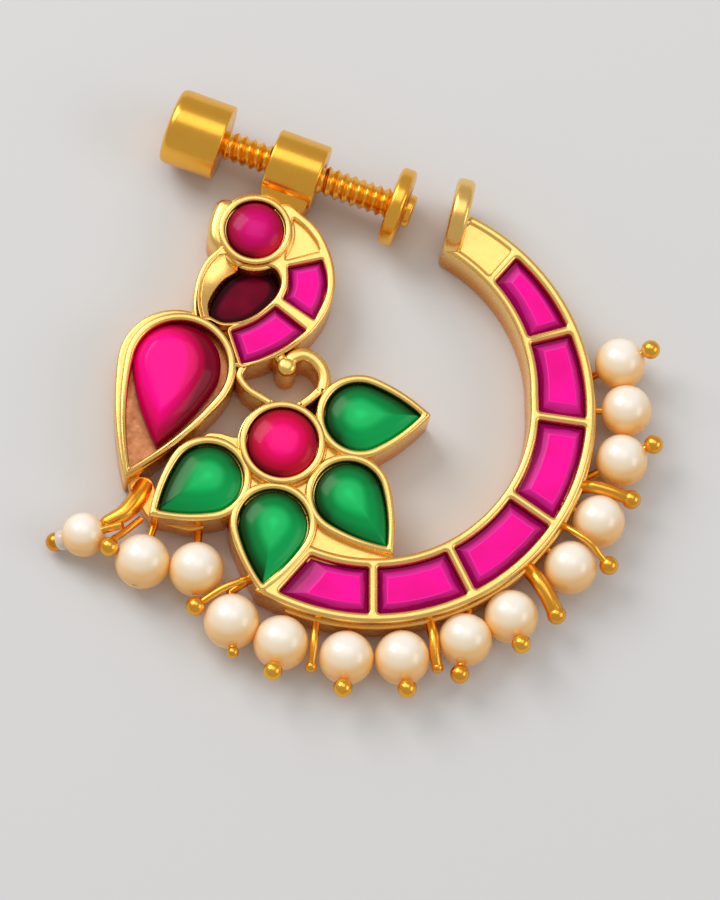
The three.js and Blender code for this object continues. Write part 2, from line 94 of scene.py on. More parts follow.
# Two curves joined by straight sides, the end of each to the start of the other.
def closeSides(one, other):
    return [one, [one[-1], other[0]], other, [other[-1], one[0]]]


# Direction of a line at one of its points.
def heading(line, i):
    return (line[min(i + 1, len(line) - 1)] - line[max(i - 1, 0)]).normalized()


# The outline moved in, each side by its own distance, then trimmed at its neighbours and respaced.
def insetSides(sides, insets, count=14, parts=8, runOn=0.3):
    dense = []
    for side in sides:
        side = [Vector(q) for q in side]
        straight = [side[0].lerp(side[-1], k / parts) for k in range(parts + 1)]
        dense.append(smoothLine(side, parts) if len(side) > 2 else straight)
    turn = 1 if area([q for side in dense for q in side[:-1]]) > 0 else -1
    moved = []
    for side, inset in zip(dense, insets):
        shifted = []
        for i, q in enumerate(side):
            t = heading(side, i)
            shifted.append(q + Vector((-t.y, t.x)) * turn * inset)
        first = (shifted[0] - shifted[1]).normalized() * (inset + runOn)
        last = (shifted[-1] - shifted[-2]).normalized() * (inset + runOn)
        moved.append([shifted[0] + first] + shifted + [shifted[-1] + last])
    corners = []
    for k, side in enumerate(moved):
        follow = moved[(k + 1) % len(moved)]
        hits = [(i, j, geometry.intersect_line_line_2d(side[i], side[i + 1], follow[j], follow[j + 1]))
                for i in range(len(side) - 1) for j in range(len(follow) - 1)]
        hits = [h for h in hits if h[2] is not None]
        corners.append(max(hits, key=lambda h: h[0] - h[1]))
    line = []
    for k, side in enumerate(moved):
        start, end = corners[k - 1], corners[k]
        part = [start[2]] + side[start[1] + 1:end[0] + 1] + [end[2]]
        spans = [(b - a).length for a, b in zip(part, part[1:])]
        for step in range(count):
            left = sum(spans) * step / count
            i = 0
            while i < len(spans) - 1 and left > spans[i]:
                left -= spans[i]
                i += 1
            line.append(part[i].lerp(part[i + 1], min(1, left / max(spans[i], 1e-6))))
    return line


def area(line):
    return sum(line[i - 1].x * p.y - p.x * line[i - 1].y for i, p in enumerate(line)) / 2


# The outline moved in by one distance, point by point.
def insetLine(line, inset):
    turn = 1 if area(line) > 0 else -1
    moved = []
    for i, p in enumerate(line):
        a = (p - line[i - 1]).normalized()
        b = (line[(i + 1) % len(line)] - p).normalized()
        inward = Vector((-(a.y + b.y), a.x + b.x)) * turn
        along = math.sqrt(max(0.12, (1 + a.dot(b)) / 2))
        moved.append(p + inward.normalized() * (inset / along))
    return moved


# Curve from one point to another, pulled towards a third.
def pulledLine(start, control, end, count):
    steps = [k / count for k in range(count + 1)]
    return [start * (1 - t) ** 2 + control * (2 * t * (1 - t)) + end * t * t for t in steps]


# Corners sharper than a few degrees are cut back and rounded.
def easeCorners(line, cut, sharp=24, count=5):
    eased = []
    for i, p in enumerate(line):
        a, b = line[i - 1] - p, line[(i + 1) % len(line)] - p
        if 180 - math.degrees(a.angle(b)) < sharp:
            eased.append(p)
        else:
            reach = min(cut, a.length * 0.45, b.length * 0.45)
            eased += pulledLine(p + a.normalized() * reach, p, p + b.normalized() * reach, count)
    return eased


# Round end drawn out to a tip by two sides that swell a little.
def dropLine(drop, grow=0, swell=11, tipCut=0.1):
    x, y, r = drop["x"], drop["y"], drop["r"] + grow
    dx, dy = drop["tipX"] - x, drop["tipY"] - y
    length = math.hypot(dx, dy) + grow * 1.25
    axis = math.degrees(math.atan2(dy, dx))
    leave = math.degrees(math.acos(r / length)) + swell
    tip = polar(x, y, length, axis)

    def side(sign):
        start = polar(x, y, r, axis + sign * leave)
        reach = (tip - start).length / 2
        control = polar(start.x, start.y, reach, axis + sign * (leave - 90))
        return pulledLine(start, control, tip, 12)

    roundEnd = arcLine(x, y, r, axis + leave, axis + 360 - leave, 6)
    line = side(1)[:0:-1] + roundEnd + side(-1)[1:-1]
    return easeCorners(line, tipCut + max(0, grow) * 0.25)


# Strip of one width along a smooth line.
def ribbonLine(points, width):
    mid = smoothLine(points)
    left, right = [], []
    for i, p in enumerate(mid):
        t = heading(mid, i)
        across = Vector((-t.y, t.x)) * (width / 2)
        left.append(p + across)
        right.append(p - across)
    return left + right[::-1]


# New ring grown out of a ring of edges: its vertices and its edges.
def growFrom(bm, edges):
    grown = bmesh.ops.extrude_edge_only(bm, edges=edges)["geom"]
    ring = set(g for g in grown if isinstance(g, bmesh.types.BMVert))
    return list(ring), [g for g in grown if isinstance(g, bmesh.types.BMEdge)
                        and g.verts[0] in ring and g.verts[1] in ring]


# Rings with equal counts of points, joined in turn; gives the edges of the first and the last.
def joinRings(bm, rings):
    spot = bm.verts.layers.int["spot"]
    ring = [bm.verts.new(p) for p in rings[0]]
    for i, v in enumerate(ring):
        v[spot] = i
    first = [bm.edges.new((ring[i - 1], ring[i])) for i in range(len(ring))]
    edges = first
    for points in rings[1:]:
        ring, edges = growFrom(bm, edges)
        for v in ring:
            v.co = points[v[spot]]
    return first, edges


def closeEnds(bm, first, last):
    bmesh.ops.triangle_fill(bm, edges=last, use_beauty=True)
    bmesh.ops.triangle_fill(bm, edges=first, use_beauty=True)


# Walls raised from an outline: the profile is a list of (inset, height).
def wallRings(bm, line, profile, insetBy=insetLine):
    return joinRings(bm, [[(*p, z) for p in insetBy(line, inset)] for inset, z in profile])


# Profile of a wall with an eased upper edge and, under it, a small bevelled foot.
def easedRise(z0, z1, edge, foot, steps=4):
    rise = [(foot, z0), (0, z0 + foot)] if foot else [(0, z0)]
    for k in range(steps + 1):
        a = math.pi / 2 * k / steps
        rise.append((edge * (1 - math.cos(a)), z1 - edge + edge * math.sin(a)))
    return rise + [(edge + 0.02, z1)]


# Flat plate with eased upper edges round its outline and round every opening in it.
def addPlate(bm, outer, holes, z0, z1, edge, foot=0.0):
    lower, upper = [], []
    rise = easedRise(z0, z1, edge, foot)
    for line, sign in [(outer, 1)] + [(h, -1) for h in holes]:
        first, last = wallRings(bm, line, [(sign * i, z) for i, z in rise])
        lower += first
        upper += last
    closeEnds(bm, lower, upper)


# Shape whose vertices remember their place in a ring.
def newShape():
    bm = bmesh.new()
    bm.verts.layers.int.new("spot")
    return bm


# Profile of (radius, station) spun round its own axis, then laid in place.
def addSpun(bm, profile, steps, lay):
    before = set(bm.verts)
    verts = [bm.verts.new((station, r, 0)) for r, station in profile]
    edges = [bm.edges.new(pair) for pair in zip(verts, verts[1:])]
    bmesh.ops.spin(bm, geom=verts + edges, cent=(0, 0, 0), axis=(1, 0, 0), dvec=(0, 0, 0),
                   angle=math.tau, steps=steps, use_merge=True, use_duplicate=False)
    bmesh.ops.transform(bm, matrix=lay, verts=[v for v in bm.verts if v not in before])


# Profile with rounded corners: [(radius, station, corner radius)].
def roundedProfile(rows, count=5):
    pts = [Vector(row[:2]) for row in rows]
    out = []
    for i, p in enumerate(pts):
        cut = rows[i][2] if len(rows[i]) > 2 else 0
        if not cut or i in (0, len(pts) - 1):
            out.append(p)
            continue
        a, b = pts[i - 1] - p, pts[i + 1] - p
        out += pulledLine(p + a.normalized() * cut, p, p + b.normalized() * cut, count)
    return [(max(v.x, 0), v.y) for v in out]


def addBall(bm, middle, r, around=24, rows=14):
    lay = Matrix.Translation(middle)
    bmesh.ops.create_uvsphere(bm, u_segments=around, v_segments=rows, radius=r, matrix=lay)


# Round wire along a line, with its own radius at each point; both ends are closed.
def addTube(bm, line, radii, sides=14):
    line = [Vector(p) for p in line]
    ring = bmesh.ops.create_circle(bm, segments=sides, radius=1, cap_ends=True, matrix=Matrix())["verts"]
    edges = list({e for v in ring for e in v.link_edges if e.other_vert(v) in ring})
    for i, (p, r) in enumerate(zip(line, radii)):
        if i:
            ring, edges = growFrom(bm, edges)
            bmesh.ops.transform(bm, matrix=lay.inverted(), verts=ring)
        turn = heading(line, i).to_track_quat("Z", "Y").to_matrix().to_4x4()
        lay = Matrix.Translation(p) @ turn @ Matrix.Diagonal((r, r, r, 1))
        bmesh.ops.transform(bm, matrix=lay, verts=ring)
    bmesh.ops.holes_fill(bm, edges=edges, sides=0)


# Smooth curve through points in space.
def smoothSpace(points):
    pts = [Vector(p) for p in points]
    flat = smoothLine([p.xy for p in pts])
    rise = smoothLine([(i, p.z) for i, p in enumerate(pts)])
    return [Vector((f.x, f.y, r.y)) for f, r in zip(flat, rise)]


# Shape in millimetres made a piece in metres, on its body.
def makePiece(name, bm, body, finish, replaced=(), sharp=40):
    bmesh.ops.remove_doubles(bm, verts=bm.verts, dist=0.0005)
    bmesh.ops.recalc_face_normals(bm, faces=bm.faces)
    bmesh.ops.translate(bm, verts=bm.verts, vec=shift)
    bmesh.ops.scale(bm, verts=bm.verts, vec=(mm, mm, mm))
    mesh = bpy.data.meshes.new(name)
    bm.to_mesh(mesh)
    bm.free()
    mesh.shade_smooth()
    mesh.set_sharp_from_angle(angle=math.radians(sharp))
    piece = bpy.data.objects.new(name, mesh)
    bpy.context.scene.collection.objects.link(piece)
    mesh.materials.append(finish)
    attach(piece, body)
    if replaced:
        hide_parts(*replaced)


def nodeIn(tree, kind, **values):
    node = tree.nodes.new(kind)
    for key, value in values.items():
        if key in node.inputs:
            node.inputs[key].default_value = value
        else:
            setattr(node, key, value)
    return node


def newFinish(name):
    material = bpy.data.materials.new(name)
    material.use_nodes = True
    tree = material.node_tree
    return material, tree, tree.nodes["Principled BSDF"]


def rampIn(tree, stops, factor):
    ramp = tree.nodes.new("ShaderNodeValToRGB")
    ramp.color_ramp.interpolation = "EASE"
    while len(ramp.color_ramp.elements) < len(stops):
        ramp.color_ramp.elements.new(0.5)
    for element, (spot, colour) in zip(ramp.color_ramp.elements, stops):
        element.position = spot
        element.color = (*colour, 1)
    tree.links.new(factor, ramp.inputs["Fac"])
    return ramp.outputs["Color"]


def remap(tree, value, fromLow, fromHigh, toLow, toHigh):
    node = nodeIn(tree, "ShaderNodeMapRange", **{"From Min": fromLow, "From Max": fromHigh,
                                                 "To Min": toLow, "To Max": toHigh})
    tree.links.new(value, node.inputs["Value"])
    return node.outputs["Result"]


def noiseIn(tree, place, scale, detail):
    noise = nodeIn(tree, "ShaderNodeTexNoise", Scale=scale, Detail=detail)
    tree.links.new(place.outputs["Object"], noise.inputs["Vector"])
    return noise.outputs["Fac"]


# A value plus a share of the cloud.
def swayIn(tree, value, cloud, share):
    sway = nodeIn(tree, "ShaderNodeMath", operation="MULTIPLY_ADD")
    tree.links.new(cloud, sway.inputs[0])
    sway.inputs[1].default_value = share
    tree.links.new(value, sway.inputs[2])
    return sway.outputs[0]


# How far the surface faces a direction.
def facingIn(tree, place, direction):
    facing = nodeIn(tree, "ShaderNodeVectorMath", operation="DOT_PRODUCT")
    facing.inputs[1].default_value = direction
    tree.links.new(place.outputs["Normal"], facing.inputs[0])
    return facing.outputs["Value"]


def bumpIn(tree, shader, height, strength, depth):
    bump = nodeIn(tree, "ShaderNodeBump", Strength=strength, Distance=depth)
    tree.links.new(height, bump.inputs["Height"])
    tree.links.new(bump.outputs["Normal"], shader.inputs["Normal"])


# Clear outer layer over a colour that also glows a little as painted light, through emission set by inner.
def coatOver(tree, shader, colour, kit):
    tree.links.new(colour, shader.inputs["Base Color"])
    tree.links.new(colour, shader.inputs["Emission Color"])
    shader.inputs["Emission Strength"].default_value = kit["inner"]
    shader.inputs["Specular IOR Level"].default_value = kit["shine"]
    shader.inputs["Coat Weight"].default_value = kit["coat"]
    shader.inputs["Coat Roughness"].default_value = kit["coatRough"]


# Gold with painted shade: deeper and darker low down, pale on top where painted light falls, with soft
# patches and a fine grain.
def goldFinish(name, kit, cloudScale=900.0, grainDepth=0.00002):
    material, tree, shader = newFinish(name)
    link = tree.links.new
    place = nodeIn(tree, "ShaderNodeTexCoord")
    parts = nodeIn(tree, "ShaderNodeSeparateXYZ")
    link(place.outputs["Object"], parts.inputs[0])
    # Painted shade and light: height runs the colour from deep low down to pale on top.
    height = remap(tree, parts.outputs["Z"], kit["lowZ"] * mm, kit["highZ"] * mm, 0, 1)
    cloud = noiseIn(tree, place, cloudScale, 3.0)
    shade = nodeIn(tree, "ShaderNodeMix", data_type="RGBA", blend_type="MULTIPLY")
    shade.inputs["Factor"].default_value = 1.0
    link(rampIn(tree, [(0.0, kit["deep"]), (0.85, kit["pale"])], height), shade.inputs["A"])
    link(rampIn(tree, [(0.3, kit["patch"]), (0.7, (1, 1, 1))], cloud), shade.inputs["B"])
    link(shade.outputs["Result"], shader.inputs["Base Color"])
    shader.inputs["Metallic"].default_value = 1.0
    lay = nodeIn(tree, "ShaderNodeMapping")
    lay.inputs["Rotation"].default_value = (0, 0, math.radians(-kit.get("turn", 0)))
    lay.inputs["Scale"].default_value = kit["grain"]
    link(place.outputs["Object"], lay.inputs["Vector"])
    grain = nodeIn(tree, "ShaderNodeTexNoise", Scale=1.0, Detail=4.0)
    link(lay.outputs["Vector"], grain.inputs["Vector"])
    link(remap(tree, grain.outputs["Fac"], 0.3, 0.7, *kit["rough"]), shader.inputs["Roughness"])
    bumpIn(tree, shader, grain.outputs["Fac"], kit["bump"], grainDepth)
    return material


# Foil-backed stone with painted light: the attribute "rim" is 0 in the middle and 1 at the girdle, and the
# colour ramp over it paints a lit middle and shaded edges; a painted glow lights the side that faces
# glowFrom.
def stoneFinish(name, kit):
    material, tree, shader = newFinish(name)
    rim = nodeIn(tree, "ShaderNodeAttribute", attribute_name="rim")
    place = nodeIn(tree, "ShaderNodeTexCoord")
    cloud = noiseIn(tree, place, kit["cloudScale"], 2.0)
    # Painted light: the glow colour is mixed in on the side facing glowFrom.
    facing = facingIn(tree, place, kit["glowFrom"])
    lit = nodeIn(tree, "ShaderNodeMix", data_type="RGBA", blend_type="MIX")
    tree.links.new(remap(tree, facing, kit["glowStart"], 1.0, 0, kit["glow"]), lit.inputs["Factor"])
    # Painted light in the middle, painted shade towards the girdle.
    tone = rampIn(tree, kit["stops"], swayIn(tree, rim.outputs["Fac"], cloud, kit["cloud"]))
    tree.links.new(tone, lit.inputs["A"])
    lit.inputs["B"].default_value = (*kit["glowColour"], 1)
    shader.inputs["Roughness"].default_value = kit["rough"]
    coatOver(tree, shader, lit.outputs["Result"], kit)
    return material


# Nacre: cream where it faces the light, which is painted light, and warmer towards the sides and
# underneath, which is a painted reflection of the gold it sits against.
def pearlFinish(name, kit):
    material, tree, shader = newFinish(name)
    place = nodeIn(tree, "ShaderNodeTexCoord")
    cloud = noiseIn(tree, place, kit["cloudScale"], 2.0)
    # Painted light and painted reflection: the colour follows how far the surface faces the lit side.
    facing = facingIn(tree, place, kit["litSide"])
    tone = rampIn(tree, kit["stops"], swayIn(tree, facing, cloud, kit["cloud"]))
    skin = noiseIn(tree, place, kit["skinScale"], 3.0)
    tree.links.new(remap(tree, skin, 0.3, 0.7, *kit["rough"]), shader.inputs["Roughness"])
    bumpIn(tree, shader, skin, kit["bump"], kit["skinDepth"])
    coatOver(tree, shader, tone, kit)
    return material


def plasticFinish(name, kit):
    material, tree, shader = newFinish(name)
    cloud = noiseIn(tree, nodeIn(tree, "ShaderNodeTexCoord"), kit["cloudScale"], 2.0)
    tree.links.new(rampIn(tree, kit["stops"], cloud), shader.inputs["Base Color"])
    shader.inputs["Transmission Weight"].default_value = kit["clear"]
    shader.inputs["Roughness"].default_value = kit["rough"]
    return material


# Gold kits: deep is painted shade low down at lowZ, pale is painted light on top at highZ.
satin = {"deep": (0.88, 0.36, 0.035), "pale": (1.0, 0.67, 0.22), "patch": (0.98, 0.96, 0.93),
         "lowZ": 0.6, "highZ": 2.5, "rough": (0.24, 0.3), "grain": (2500, 2500, 2500), "bump": 0.02}
turned = {"deep": (0.85, 0.33, 0.025), "pale": (1.0, 0.55, 0.08), "patch": (0.98, 0.95, 0.92),
          "lowZ": 0.6, "highZ": 3.6, "rough": (0.23, 0.27), "grain": (7000, 300, 300), "turn": -19.9,
          "bump": 0.012}
foil = {"deep": (0.5, 0.22, 0.11), "pale": (0.62, 0.28, 0.14), "patch": (0.85, 0.78, 0.74),
        "lowZ": 0.4, "highZ": 1.4, "rough": (0.3, 0.5), "grain": (5000, 5000, 5000), "bump": 0.4}
goldSatin = goldFinish("goldSatin", satin)
goldTurned = goldFinish("goldTurned", turned)
copperFoil = goldFinish("copperFoil", foil)
# Stone kits: the stops paint light in the middle and shade at the girdle, glow is painted light on the side
# facing glowFrom, and inner is a painted glow.
magentaStone = stoneFinish("magentaStone", {
    "stops": [(0.1, (1.0, 0.0, 0.4)), (0.27, (0.84, 0.0, 0.28)), (0.43, (0.96, 0.04, 0.44)),
              (0.7, (0.68, 0.02, 0.33)), (0.95, (0.5, 0.01, 0.22)), (1.0, (0.28, 0.0, 0.11))],
    "cloud": 0.36, "cloudScale": 520.0, "glowFrom": (-0.45, 0.6, 0.66), "glowStart": 0.84, "glow": 0.4,
    "glowColour": (0.7, 0.06, 0.42), "shine": 0.06, "rough": 0.22, "coat": 0.08, "coatRough": 0.04,
    "inner": 0.12})
ruby = {
    "stops": [(0.0, (1.0, 0.0, 0.26)), (0.42, (0.94, 0.0, 0.22)), (0.62, (0.7, 0.0, 0.1)),
              (0.85, (0.47, 0.0, 0.03)), (1.0, (0.15, 0.0, 0.01))],
    "cloud": 0.1, "cloudScale": 500.0, "glowFrom": (0.6, -0.62, 0.35), "glowStart": 0.62, "glow": 0.8,
    "glowColour": (0.95, 0.015, 0.04), "shine": 0.08, "rough": 0.3, "coat": 0.2, "coatRough": 0.09,
    "inner": 0.1}
rubyStone = stoneFinish("rubyStone", ruby)
headRuby = stoneFinish("headRuby", {**ruby, "stops": [
    (0.0, (0.7, 0.0, 0.24)), (0.42, (0.62, 0.0, 0.18)), (0.62, (0.5, 0.0, 0.12)), (0.85, (0.38, 0.0, 0.05)),
    (1.0, (0.12, 0.0, 0.01))]})
wingRuby = stoneFinish("wingRuby", {
    "stops": [(0.0, (1.0, 0.0, 0.33)), (0.6, (0.98, 0.0, 0.31)), (0.72, (0.8, 0.0, 0.17)),
              (0.9, (0.46, 0.0, 0.06)), (1.0, (0.2, 0.0, 0.02))],
    "cloud": 0.1, "cloudScale": 300.0, "glowFrom": (-0.75, 0.1, 0.5), "glowStart": 0.5, "glow": 0.4,
    "glowColour": (0.8, 0.0, 0.16), "shine": 0.07, "rough": 0.25, "coat": 0.18, "coatRough": 0.08,
    "inner": 0.1})
# The breast stone sits low in the oval: its dark red is partly its own colour and partly painted shade.
darkShadedStone = stoneFinish("darkShadedStone", {
    "stops": [(0.0, (0.5, 0.0, 0.07)), (0.4, (0.32, 0.0, 0.045)), (0.7, (0.1, 0.0, 0.014)),
              (1.0, (0.03, 0.0, 0.006))],
    "cloud": 0.9, "cloudScale": 300.0, "glowFrom": (0.5, -0.6, 0.5), "glowStart": 0.6, "glow": 0.2,
    "glowColour": (0.6, 0.0, 0.12), "shine": 0.03, "rough": 0.3, "coat": 0.06, "coatRough": 0.08,
    "inner": 0.03})
greenStone = stoneFinish("greenStone", {
    "stops": [(0.0, (0.0, 0.64, 0.17)), (0.35, (0.0, 0.46, 0.115)), (0.68, (0.0, 0.2, 0.042)),
              (1.0, (0.0, 0.035, 0.006))],
    "cloud": 0.12, "cloudScale": 450.0, "glowFrom": (0.5, -0.66, 0.5), "glowStart": 0.5, "glow": 0.8,
    "glowColour": (0.0, 0.6, 0.15), "shine": 0.06, "rough": 0.32, "coat": 0.3, "coatRough": 0.16,
    "inner": 0.13})
# Pearl stops run from a painted gold reflection, facing away, to painted light, facing the lit side.
pearlSkin = pearlFinish("pearlSkin", {
    "stops": [(0.0, (0.92, 0.46, 0.08)), (0.42, (0.95, 0.6, 0.24)), (0.76, (0.93, 0.8, 0.62)),
              (1.0, (0.97, 0.95, 0.93))],
    "cloud": 0.06, "cloudScale": 500.0, "litSide": (-0.1, 0.33, 0.94), "skinScale": 2600.0,
    "skinDepth": 0.00001, "bump": 0.006, "rough": (0.3, 0.34), "shine": 0.8, "coat": 0.9,
    "coatRough": 0.14, "inner": 0.06})
clearPlastic = plasticFinish("clearPlastic", {
    "stops": [(0.3, (0.86, 0.84, 0.8)), (0.7, (0.97, 0.96, 0.94))], "cloudScale": 1500.0, "clear": 0.25,
    "rough": 0.15})
print("finishes made")

# The crescent: rails and bars over a flat base. Its ends and end cells are in degrees, at the outer and
# then the inner edge.
band = {"x": 0.4, "y": 1.7, "outer": 11.17, "inner": 7.9, "innerSpread": 0.0155, "spreadFrom": 4,
        "tail": (-121, -113), "tip": (61.5, 65), "tailCell": (-115.1, -110.8), "tipCell": (62.4, 65.1),
        "innerRail": 0.46, "outerRail": 0.5, "barWidth": 0.46, "cornerCut": 0.14, "tipCut": 0.1,
        "endCut": 0.3, "top": 2.6, "bed": 1.1, "edge": 0.2, "tipPanelTop": 2.53}
ledge = {"from": -112, "to": 61, "out": 0.14, "in": 0.3, "top": 1.75, "edge": 0.1}
bars = [(47.8, 1.5), (23.0, -7), (-3.6, -4), (-33.4, -1.6), (-62.5, -1.2), (-89.5, -0.6)]  # place, slant


def innerEdge(deg):
    return band["inner"] + band["innerSpread"] * max(0, deg - band["spreadFrom"])


def cellInner(deg):
    return innerEdge(deg) + band["innerRail"]


cellOuter = band["outer"] - band["outerRail"]
bandMiddle = (band["inner"] + band["outer"]) / 2


def barEdge(bar, r, side):
    slant = (r - bandMiddle) * math.tan(math.radians(bar[1]))
    return bar[0] + math.degrees((slant + side * band["barWidth"] / 2) / r)


def bandArc(radiusAt, fromDeg, toDeg):
    return arcLine(band["x"], band["y"], radiusAt, fromDeg, toDeg)


# Opening between two bars.
def cellSides(upper, lower):
    inner = cellInner((upper[0] + lower[0]) / 2)
    outside = bandArc(cellOuter, barEdge(lower, cellOuter, 1), barEdge(upper, cellOuter, -1))
    inside = bandArc(cellInner, barEdge(upper, inner, -1), barEdge(lower, inner, 1))
    return closeSides(outside, inside)


# The rounded end of the tip, as (radius, degrees).
tipEnd = [(11.17, 62.4), (11.1, 63.2), (10.7, 63.9), (9.9, 65.4), (9.35, 66.6), (9.04, 66.7), (8.88, 65.8)]
tipEnd = [polar(band["x"], band["y"], r, deg) for r, deg in tipEnd]
bandLine = bandArc(band["outer"], band["tail"][0], band["tip"][0])[:-1] + smoothLine(tipEnd, 3) + \
    bandArc(innerEdge, band["tip"][1], band["tail"][1])
bandLine = easeCorners(bandLine, band["endCut"])
bandCells = [cellSides(bars[i], bars[i + 1]) for i in range(len(bars) - 1)]
outside = bandArc(cellOuter, band["tailCell"][0], barEdge(bars[-1], cellOuter, -1))
inside = bandArc(cellInner, barEdge(bars[-1], band["inner"], -1), band["tailCell"][1])
bandCells.append(closeSides(outside, inside))
tipCell = bandArc(cellOuter, barEdge(bars[0], cellOuter, 1), band["tipCell"][0]) + \
    bandArc(cellInner, band["tipCell"][1], barEdge(bars[0], band["inner"], 1))

easedCells = [easeCorners(sidesLine(c, 1), band["cornerCut"]) for c in bandCells]
easedTip = easeCorners(tipCell, band["tipCut"])
bm = newShape()
addPlate(bm, bandLine, easedCells + [easedTip], 0.05, band["top"], band["edge"], 0.05)
makePiece("crescentRails", bm, "ring", goldSatin, ["frame"])
bm = newShape()
addPlate(bm, insetLine(bandLine, 0.05), [], 0.0, band["bed"], 0.05, 0.08)
addPlate(bm, insetLine(easedTip, -0.04), [], 0.6, band["tipPanelTop"], 0.03)
makePiece("crescentBase", bm, "ring", goldSatin)
bm = newShape()
ledgeLine = bandArc(band["outer"] + ledge["out"], ledge["from"], ledge["to"]) + \
    bandArc(band["outer"] - ledge["in"], ledge["to"], ledge["from"])
addPlate(bm, easeCorners(ledgeLine, 0.1), [], 0.12, ledge["top"], ledge["edge"], 0.1)
makePiece("crescentLedge", bm, "ring", goldSatin)


# Body of a cut stone, closed at both ends: rows are (inset, height, rim).
def addStoneBody(bm, line, rows, insetBy=insetLine):
    rim = bm.verts.layers.float.new("rim")
    first, last = wallRings(bm, line, [row[:2] for row in rows], insetBy)
    for v in bm.verts:
        v[rim] = min(rows, key=lambda row: abs(row[1] - v.co.z))[2]
    closeEnds(bm, first, last)


# Rim places each row on the stone's ramp of painted light and shade: table light, crown facets darker,
# girdle darkest.
crownRim = 0.56
tableTurn = [(0.025, 0.012, 0.25), (0.08, 0.016, 0.0)]  # inset, rise and rim where the crown turns flat


# Cut stone: girdle, crown facets and a flat table; facets says how wide each side's facet is.
def addCutStone(name, node, sides, cut, facets=(1, 1, 1, 1)):
    bm = newShape()
    gap, crown, table = cut["gap"], cut["gap"] + cut["crown"], cut["table"]
    rows = [(gap, cut["bed"], 1.0), (gap, cut["girdle"], 1.0), (crown, table, crownRim)]
    rows += [(crown + more, table + rise, rim) for more, rise, rim in tableTurn]

    def inward(line, inset):
        return insetSides(line, [gap + (inset - gap) * wide for wide in facets])

    addStoneBody(bm, sides, rows, inward)
    makePiece(name, bm, "ring", magentaStone, [node], sharp=20)


crescentCut = {"gap": 0.05, "bed": 1.12, "girdle": 2.1, "table": 2.46, "crown": 0.44}
# Each stone is cut by hand: the widths of its outer, upper, inner and lower facets.
crescentFacets = [(0.85, 1.3, 1.25, 0.8), (0.9, 1.1, 1.0, 1.2), (0.8, 1.3, 1.15, 1.1), (0.9, 1.2, 1.0, 1.0),
                  (0.9, 1.2, 1.1, 0.9), (0.9, 0.9, 1.0, 2.2)]
for i, cell in enumerate(bandCells):
    addCutStone(f"bandStone{i + 1}", f"stone_band_{i + 1}", cell, crescentCut, crescentFacets[i])
print("crescent made")

# The bird's neck.
neckOutline = [
    (-8.46, 5.95), (-8.52, 6.5), (-8.47, 7.3), (-8.28, 8.2), (-7.88, 9.0), (-7.25, 9.65), (-6.4, 10.4),
    (-5.0, 11.4), (-3.9, 12.05), (-3.0, 11.45), (-2.4, 10.9), (-1.95, 10.2), (-1.6, 9.3), (-1.43, 8.4),
    (-1.45, 7.5), (-1.75, 6.5), (-2.3, 5.6), (-2.9, 4.95), (-3.9, 4.25), (-5.0, 3.7), (-6.1, 3.4)]
underWing = arcLine(-9.1, 3.42, 2.42, 2, 74, 9)  # along the wing's setting
ovalOutline = [
    (-6.3, 8.66), (-5.4, 8.9), (-4.5, 8.63), (-4.2, 8.2), (-4.15, 7.75), (-4.4, 7.15), (-4.9, 6.6),
    (-5.5, 6.12), (-6.2, 5.82), (-7.0, 5.75), (-7.66, 6.06), (-7.75, 6.7), (-7.48, 7.4), (-6.97, 8.15)]
neckCells = [
    [[(-3.76, 8.74), (-2.07, 9.14)], [(-2.07, 9.14), (-1.85, 8.3), (-1.9, 7.28), (-2.46, 5.98)],
     [(-2.46, 5.98), (-4.0, 7.04)], [(-4.0, 7.04), (-3.76, 7.75), (-3.76, 8.74)]],
    [[(-6.6, 5.32), (-5.4, 5.86), (-4.38, 6.66)], [(-4.38, 6.66), (-2.86, 5.43)],
     [(-2.86, 5.43), (-3.86, 4.6), (-5.0, 3.97), (-6.04, 3.6)], [(-6.04, 3.6), (-6.6, 5.32)]]]
neckPanel = [[(-3.5, 11.25), (-2.95, 10.8), (-2.42, 10.1), (-2.22, 9.6)], [(-2.22, 9.6), (-3.9, 9.1)],
             [(-3.9, 9.1), (-3.5, 11.25)]]
breastEdge = [(-7.96, 6.02), (-8.08, 6.55), (-8.1, 7.2), (-7.98, 8.0), (-7.62, 8.75), (-7.0, 9.45)]
neckLine = sidesLine(closeSides(neckOutline, underWing), 5)
ovalLine = smoothLine(ovalOutline, 4, closed=True)
neckCellLines = [sidesLine(sides) for sides in neckCells]
panelLine = easeCorners(sidesLine(neckPanel), 0.15)
breastBack = ovalOutline[:1] + ovalOutline[:9:-1]
breastLine = sidesLine(closeSides(breastEdge, breastBack), 4)
breastHole = sidesLine(closeSides(ovalOutline[:11], breastEdge), 4)
neck = {"edge": 0.15, "cornerCut": 0.15, "ovalFloor": 0.6, "panelTop": 2.3, "breastTop": 2.54,
        "drop": 0.85, "reach": 1.05}
bm = newShape()
holes = [breastHole, panelLine] + [easeCorners(c, neck["cornerCut"]) for c in neckCellLines]
addPlate(bm, neckLine, holes, 0.05, band["top"], neck["edge"], 0.05)
makePiece("neckRails", bm, "ring", goldSatin)
bm = newShape()
addPlate(bm, insetLine(neckLine, 0.06), [ovalLine], 0.0, band["bed"], 0.04, 0.05)
addPlate(bm, insetLine(ovalLine, -0.05), [], 0.02, neck["ovalFloor"], 0.02)
addPlate(bm, insetLine(panelLine, -0.04), [], 0.6, neck["panelTop"], 0.03)
before = set(bm.verts)
addPlate(bm, easeCorners(breastLine, 0.1), [], 0.5, neck["breastTop"], 0.04)
edgeLine = smoothLine(breastEdge)
for v in bm.verts:  # the breast slopes down from its edge to the dark stone
    if v not in before and v.co.z > neck["breastTop"] / 2:
        away = min((v.co.xy - q).length for q in edgeLine)
        v.co.z -= neck["drop"] * min(1, away / neck["reach"]) ** 1.3
